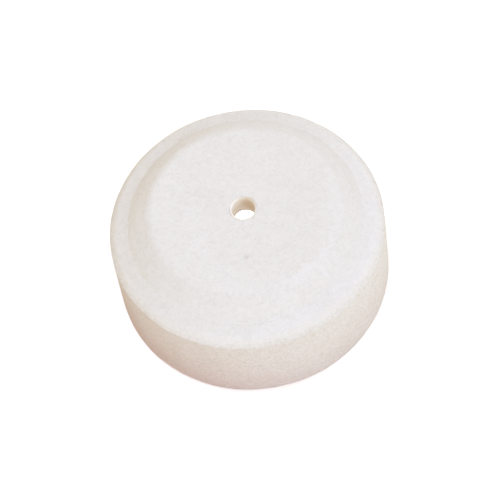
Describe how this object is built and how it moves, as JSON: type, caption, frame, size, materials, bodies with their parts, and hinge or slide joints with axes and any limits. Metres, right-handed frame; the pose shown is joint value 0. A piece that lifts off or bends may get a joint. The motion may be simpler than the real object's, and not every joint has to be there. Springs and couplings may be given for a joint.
{
  "type": "felt polishing wheel",
  "caption": "Thick felt polishing wheel with a raised bevelled face disc, an open back and a bush-lined arbor hole.",
  "frame": {"origin": "centre of the wheel's flat back face, on the spindle axis", "axes": "+Z along the spindle axis, from the back face towards the raised working face; X and Y lie in the back face"},
  "size_m": [0.1524, 0.1524, 0.0698],
  "materials": {
    "drum_felt": "matte pressed wool felt",
    "face_felt": "matte pressed wool felt",
    "bush": "matte tan fibre"
  },
  "bodies": {
    "root": {"drum_ply_1": "drum_felt", "drum_ply_2": "drum_felt", "drum_ply_3": "drum_felt", "face_disc": "face_felt", "arbor_bush": "bush"}
  },
  "joints": []
}
